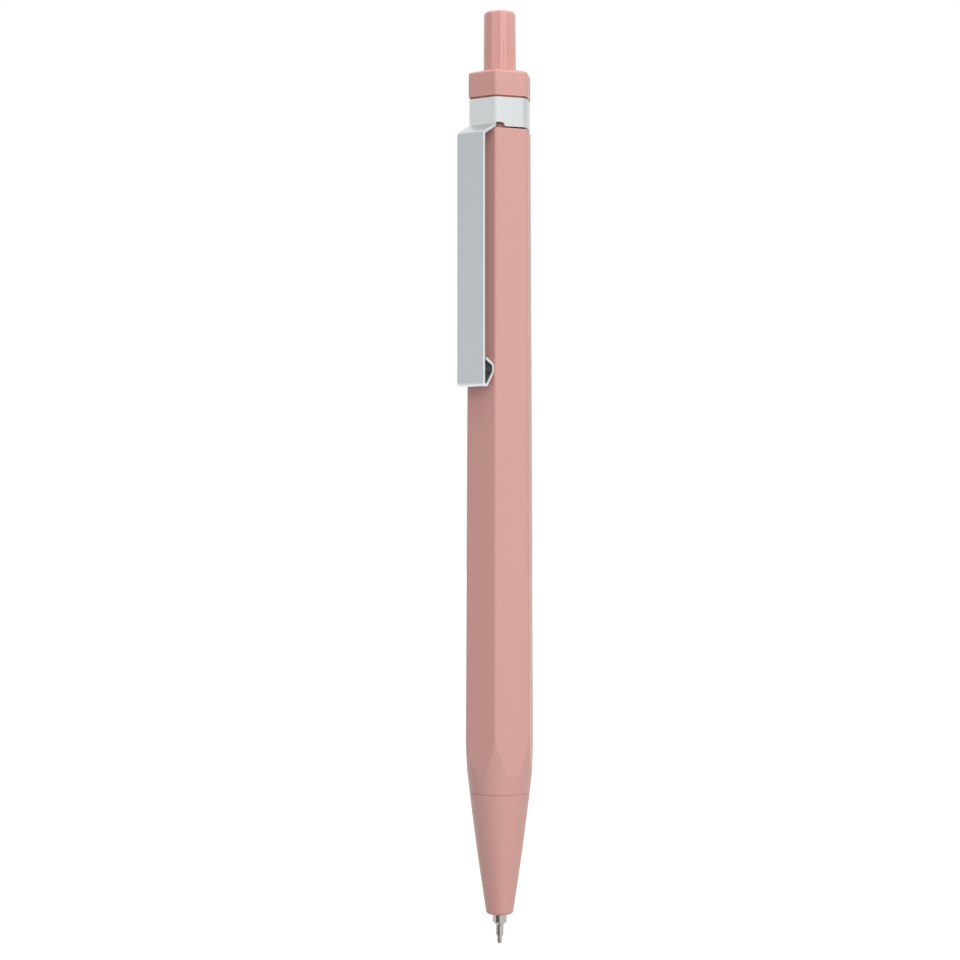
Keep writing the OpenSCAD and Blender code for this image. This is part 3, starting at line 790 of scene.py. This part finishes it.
moulded, entry, leave = new_group("moulded_plastic", {
    "Colour": "NodeSocketColor", "Streaks": "NodeSocketFloat", "Grain": "NodeSocketFloat",
    "Roughness": "NodeSocketFloat"}, SURFACE_OUTPUTS)
place = add_node(moulded, "ShaderNodeTexCoord")
along_flow = add_node(moulded, "ShaderNodeMapping")
along_flow.inputs["Scale"].default_value = FLOW_STRETCH
moulded.links.new(place.outputs["Object"], along_flow.inputs["Vector"])
flow = noise(moulded, along_flow.outputs["Vector"], FLOW_DETAIL, FLOW_SCALE)
grain = noise(moulded, place.outputs["Object"], GRAIN_DETAIL)
moulded.links.new(entry.outputs["Grain"], grain.inputs["Scale"])
tone = spread(moulded, flow.outputs["Fac"], entry.outputs["Streaks"], 1.0)
moulded.links.new(toned(moulded, entry.outputs["Colour"], tone), leave.inputs["Colour"])
gloss = spread(moulded, grain.outputs["Fac"], GRAIN_GLOSS, entry.outputs["Roughness"])
moulded.links.new(gloss, leave.inputs["Roughness"])
moulded.links.new(grain.outputs["Fac"], leave.inputs["Height"])
print("Group:", moulded.name)

# %% [markdown]
# The second group is worked metal: brushed, drawn or turned. Its lines are noise that is stretched
# along the direction of the work, and the Lines input gives their number per metre each way.

# %% Worked metal group
LINE_DETAIL = 3
LINE_GLOSS = 0.25

worked, entry, leave = new_group("worked_metal", {
    "Colour": "NodeSocketColor", "Lines": "NodeSocketVector", "Contrast": "NodeSocketFloat",
    "Roughness": "NodeSocketFloat"}, SURFACE_OUTPUTS)
place = add_node(worked, "ShaderNodeTexCoord")
stretched = add_node(worked, "ShaderNodeVectorMath", operation="MULTIPLY")
worked.links.new(place.outputs["Object"], stretched.inputs[0])
worked.links.new(entry.outputs["Lines"], stretched.inputs[1])
lines = noise(worked, stretched.outputs[0], LINE_DETAIL)
tone = spread(worked, lines.outputs["Fac"], entry.outputs["Contrast"], 1.0)
worked.links.new(toned(worked, entry.outputs["Colour"], tone), leave.inputs["Colour"])
gloss = spread(worked, lines.outputs["Fac"], LINE_GLOSS, entry.outputs["Roughness"])
worked.links.new(gloss, leave.inputs["Roughness"])
worked.links.new(lines.outputs["Fac"], leave.inputs["Height"])
print("Group:", worked.name)

# %% [markdown]
# One helper builds a material round either group: the group's colour and roughness go into the
# Principled shader, and its height goes through a bump. What is the same all over, such as being
# metal or letting light through, is set on the shader itself.

# %% The material builder
RELIEF_STRENGTH = 0.5


def surface(name, group, values, bump, **constants):
    """A Principled material whose colour, roughness and bump come from a group."""
    material = bpy.data.materials.new(name)
    material.use_nodes = True
    tree = material.node_tree
    shader = tree.nodes["Principled BSDF"]
    effect = add_node(tree, "ShaderNodeGroup", node_tree=group)
    for label, value in values.items():
        effect.inputs[label].default_value = value
    relief = add_node(tree, "ShaderNodeBump")
    relief.inputs["Strength"].default_value = RELIEF_STRENGTH
    relief.inputs["Distance"].default_value = bump
    tree.links.new(effect.outputs["Colour"], shader.inputs["Base Color"])
    tree.links.new(effect.outputs["Roughness"], shader.inputs["Roughness"])
    tree.links.new(effect.outputs["Height"], relief.inputs["Height"])
    tree.links.new(relief.outputs["Normal"], shader.inputs["Normal"])
    for label, value in constants.items():
        shader.inputs[label.replace("_", " ")].default_value = value
    return material


def plastic(name, colour, streaks, grain, roughness, bump, **constants):
    values = {"Colour": (*colour, 1), "Streaks": streaks, "Grain": grain, "Roughness": roughness}
    return surface(name, moulded, values, bump, **constants)


def metal(name, colour, lines, contrast, roughness, bump):
    values = {"Colour": (*colour, 1), "Lines": lines, "Contrast": contrast, "Roughness": roughness}
    return surface(name, worked, values, bump, Metallic=1.0)


def paint(material, *names, slot=0):
    """Give a material to new pieces, or to CAD nodes that keep their shape."""
    for name in names:
        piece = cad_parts.get(name) or bpy.data.objects[name]
        if piece.material_slots:
            piece.material_slots[slot].material = material
        else:
            piece.data.materials.append(material)
    print(f"{material.name}: {', '.join(names)}")


# %% [markdown]
# The pen's pink is a dusty, slightly warm one, the same on barrel, nose and collar. The button has a
# smoother mould, so it is glossier, and its pink is painted a little lighter, as painted light on the top
# of the pen.

# %% Pink plastics
PINK = (0.62, 0.325, 0.29)
# The button's pink is the barrel's pink painted lighter, as painted light on the top of the pen.
BUTTON_PINK_PAINTED_LIGHTER = (0.66, 0.335, 0.303)

barrel_pink = plastic("barrel_pink", PINK, streaks=0.05, grain=9000, roughness=0.42, bump=4 * MICRON)
glossy_button_pink_painted_lighter = plastic("glossy_button_pink_painted_lighter", BUTTON_PINK_PAINTED_LIGHTER, streaks=0.05, grain=12000, roughness=0.34,
                      bump=2 * MICRON)
paint(barrel_pink, "barrel_shell", "nose_shell", "collar_moulding")
paint(glossy_button_pink_painted_lighter, "button_moulding")

# %% [markdown]
# The clip is satin steel, brushed along its length, cool grey, with soft reflections. On the band and the
# ramp it is a lighter copy, a painted reflection, and on the side that faces the barrel it is a darker
# and rougher copy, painted shade. Its cut edges are bare metal, rougher than the plated faces and painted
# lighter as a highlight, and the lower edge of the fold gets the same painted highlight. The point is
# turned nickel silver, so its lines run round it. The spring is drawn wire and the ball is polished
# carbide.

# %% Metals
brushed = {"lines": (9000, 9000, 250), "contrast": 0.12, "bump": MICRON}
satin_steel = metal("satin_steel", (0.48, 0.51, 0.53), roughness=0.42, **brushed)
# A lighter copy of the satin steel, a painted reflection for the band and the ramp.
painted_reflection_steel = metal("painted_reflection_steel", (0.595, 0.615, 0.62), roughness=0.38, **brushed)
# A darker, rougher copy of the satin steel, painted shade for the side that faces the barrel.
rough_painted_shade_steel = metal("rough_painted_shade_steel", (0.36, 0.38, 0.385), roughness=0.5, **brushed)
# Bare metal for the cut rim, painted lighter as a highlight, and also a painted highlight on the foot of
# the fold.
bare_steel_and_highlight = metal("bare_steel_and_highlight", (0.74, 0.75, 0.755), lines=(5000, 5000, 5000), contrast=0.15,
                   roughness=0.5, bump=2 * MICRON)
point_nickel = metal("point_nickel", (0.38, 0.36, 0.35), lines=(300, 300, 14000), contrast=0.15,
                     roughness=0.14, bump=MICRON)
spring_wire = metal("spring_wire", (0.45, 0.45, 0.46), lines=(6000, 6000, 6000), contrast=0.2,
                    roughness=0.3, bump=MICRON)
ball_carbide = metal("ball_carbide", (0.40, 0.40, 0.41), lines=(9000, 9000, 9000), contrast=0.1,
                     roughness=0.15, bump=0.2 * MICRON)
paint(satin_steel, "clip_sheet", slot=SATIN)
paint(bare_steel_and_highlight, "clip_sheet", slot=BARE_AND_HIGHLIGHT)
paint(rough_painted_shade_steel, "clip_sheet", slot=ROUGH_PAINTED_SHADE)
paint(painted_reflection_steel, "clip_sheet", slot=PAINTED_REFLECTION)
paint(point_nickel, "point_turned")
paint(spring_wire, "spring_wound")
paint(ball_carbide, "writing_ball")

# %% [markdown]
# Inside the pen are natural acetal for the click parts, which is milky and slick, a clear
# ink tube, the ink itself, the clear grease that follows it, and a small tail plug in the ink's colour.

# %% Inner materials
acetal = plastic("acetal", (0.75, 0.73, 0.68), streaks=0.04, grain=8000, roughness=0.36,
                 bump=3 * MICRON)
tube_clear = plastic("tube_clear", (0.85, 0.86, 0.85), streaks=0.03, grain=5000, roughness=0.25,
                     bump=MICRON, Transmission_Weight=0.8, IOR=1.49)
ink_blue = plastic("ink_blue", (0.008, 0.06, 0.22), streaks=0.1, grain=3000, roughness=0.2,
                   bump=MICRON)
grease_clear = plastic("grease_clear", (0.75, 0.74, 0.65), streaks=0.05, grain=3000, roughness=0.25,
                       bump=MICRON, Transmission_Weight=0.6, IOR=1.47)
plug_blue = plastic("plug_blue", (0.012, 0.08, 0.25), streaks=0.06, grain=8000, roughness=0.4,
                    bump=3 * MICRON)
paint(acetal, "guide_sleeve", "thrust_cam", "rotor_cam", "tip_holder")
paint(tube_clear, "refill_tube")
paint(ink_blue, "ink_column")
paint(grease_clear, "ink_follower")
paint(plug_blue, "tail_plug")

# %% [markdown]
# ## Studio
# The pen stands just above a plain grey floor in front of white, and the gap leaves room for the
# point when the button is pressed home. Only what the camera and the reflections see of the floor
# and the world is lifted to white. The light that falls on the pen is a soft, even surround, one
# large soft box at the right, so that the flats on that side are brighter than the clip's side,
# a weaker one behind, so that the back isn't in the dark, and a small one overhead for the tops
# of collar and button.

# %% Floor
WHITE = (1, 1, 1, 1)
FLOOR_TONE = 0.4
FLOOR_GLOW = 0.88
FLOOR_SIZE = 4.0
FLOOR_DROP = 0.0013

deselect_all()
bpy.ops.mesh.primitive_plane_add(size=FLOOR_SIZE, location=(0, 0, -FLOOR_DROP))
floor = bpy.context.active_object
floor.name = "floor"


def matte(name, tone):
    """A grey paper without gloss."""
    material = bpy.data.materials.new(name)
    material.use_nodes = True
    shader = material.node_tree.nodes["Principled BSDF"]
    shader.inputs["Base Color"].default_value = (tone, tone, tone, 1)
    shader.inputs["Roughness"].default_value = 1.0
    shader.inputs["Specular IOR Level"].default_value = 0.0
    return material


def seen_directly(tree):
    """One for rays from the camera, from reflections and through glass, else nothing."""
    path = add_node(tree, "ShaderNodeLightPath")
    total = path.outputs["Is Camera Ray"]
    for label in ("Is Glossy Ray", "Is Transmission Ray"):
        either = add_node(tree, "ShaderNodeMath", operation="MAXIMUM")
        tree.links.new(total, either.inputs[0])
        tree.links.new(path.outputs[label], either.inputs[1])
        total = either.outputs[0]
    return total


floor_paper = matte("floor_paper", FLOOR_TONE)
tree = floor_paper.node_tree
shader = tree.nodes["Principled BSDF"]
shader.inputs["Emission Color"].default_value = WHITE
glow = add_node(tree, "ShaderNodeMath", operation="MULTIPLY")
glow.inputs[1].default_value = FLOOR_GLOW
tree.links.new(seen_directly(tree), glow.inputs[0])
tree.links.new(glow.outputs[0], shader.inputs["Emission Strength"])
floor.data.materials.append(floor_paper)
print(f"{floor.name}: {floor_paper.name}, {FLOOR_DROP / MM:.1f} mm below the ball")

# %% World
SURROUND = 0.28

world = bpy.data.worlds.new("studio")
bpy.context.scene.world = world
world.use_nodes = True
tree = world.node_tree
level = add_node(tree, "ShaderNodeMapRange")
level.inputs["To Min"].default_value = SURROUND
level.inputs["To Max"].default_value = 1.0
tree.links.new(seen_directly(tree), level.inputs["Value"])
background = tree.nodes["Background"]
background.inputs["Color"].default_value = WHITE
tree.links.new(level.outputs["Result"], background.inputs["Strength"])
print(f"{world.name}: lights the pen at {SURROUND} and is seen as white")

# %% [markdown]
# Metal mirrors a soft box, and would burn out to white where plastic is only well lit. So each box
# is a pair of lamps: the strong one lights the colour of a surface, and the weak one, a little
# nearer to the pen, is what its gloss mirrors.

# %% Soft boxes
KEY_POWER = 16.7
KEY_TURN = math.radians(58)
FILL_POWER = 7.0
FILL_TURN = math.radians(232)
BOX_SIZE = 1.6
BOX_DISTANCE = 1.0
BOX_HEIGHT = 0.7
TOP_POWER = 1.1
TOP_SIZE = 0.5
TOP_HEIGHT = 0.55
SHEEN = 0.18
SHEEN_PLACE = 0.97
PEN_MIDDLE = 0.07


def towards(angle, distance, height):
    """A place round the pen, turned from the clip's side towards the right."""
    return Vector((distance * math.sin(angle), -distance * math.cos(angle), height))


def soft_box(name, place, size, power):
    """A pair of square lamps that face the middle of the pen."""
    aim = (Vector((0, 0, PEN_MIDDLE)) - place).to_track_quat("-Z", "Y").to_euler()
    for mirrored in (False, True):
        spot = place * SHEEN_PLACE if mirrored else place
        bpy.ops.object.light_add(type="AREA", location=spot, rotation=aim)
        lamp = bpy.context.active_object
        lamp.name = f"{name}_sheen" if mirrored else name
        lamp.data.size = size
        lamp.data.energy = power * SHEEN if mirrored else power
        lamp.visible_glossy = mirrored
        lamp.visible_diffuse = not mirrored
    print(f"{name} at {[round(value, 2) for value in place]}")


soft_box("key_box", towards(KEY_TURN, BOX_DISTANCE, BOX_HEIGHT), BOX_SIZE, KEY_POWER)
soft_box("fill_box", towards(FILL_TURN, BOX_DISTANCE, BOX_HEIGHT), BOX_SIZE, FILL_POWER)
soft_box("top_box", towards(0, 0, TOP_HEIGHT), TOP_SIZE, TOP_POWER)

# %% [markdown]
# Polished metal shows its roundness only by what it mirrors. A photographer lays a dark card beside
# it, and so does this cell: a small wedge of card lies before the point, and only
# reflections see it.

# %% Dark card
CARD_RADIUS = 0.024
CARD_TURN = math.radians(5)
CARD_LIFT = 0.0002
CARD_TONE = 0.2

deselect_all()
bpy.ops.mesh.primitive_circle_add(vertices=3, radius=CARD_RADIUS, fill_type="NGON",
                                  location=towards(CARD_TURN, CARD_RADIUS, CARD_LIFT - FLOOR_DROP),
                                  rotation=(0, 0, CARD_TURN))
card = bpy.context.active_object
card.name = "dark_card"
card.visible_camera = False
card.visible_diffuse = False
card.visible_shadow = False
card.data.materials.append(matte("card_black", CARD_TONE))
print("Card at", [round(value, 4) for value in card.location])

# %% [markdown]
# ## Camera
# The picture was taken level with the middle of the pen, about a third of a metre away and
# turned towards the corner of the barrel to the right of the clip. The pen's axis stands a little
# to the right of the picture's middle.

# %% Camera
CAMERA_TURN = math.radians(37)
CAMERA_DISTANCE = 0.353
CAMERA_HEIGHT = 0.0707
CAMERA_SIDE = 0.003
LENS = 86.8
NEAREST_SEEN = 0.01

right = Vector((math.cos(CAMERA_TURN), math.sin(CAMERA_TURN), 0))
camera_place = towards(CAMERA_TURN, CAMERA_DISTANCE, CAMERA_HEIGHT) - right * CAMERA_SIDE
bpy.ops.object.camera_add(location=camera_place, rotation=(math.pi / 2, 0, CAMERA_TURN))
camera = bpy.context.active_object
camera.data.lens = LENS
camera.data.clip_start = NEAREST_SEEN
bpy.context.scene.camera = camera
bpy.context.scene.view_settings.view_transform = "Standard"
print("Camera at", [round(value, 4) for value in camera_place])
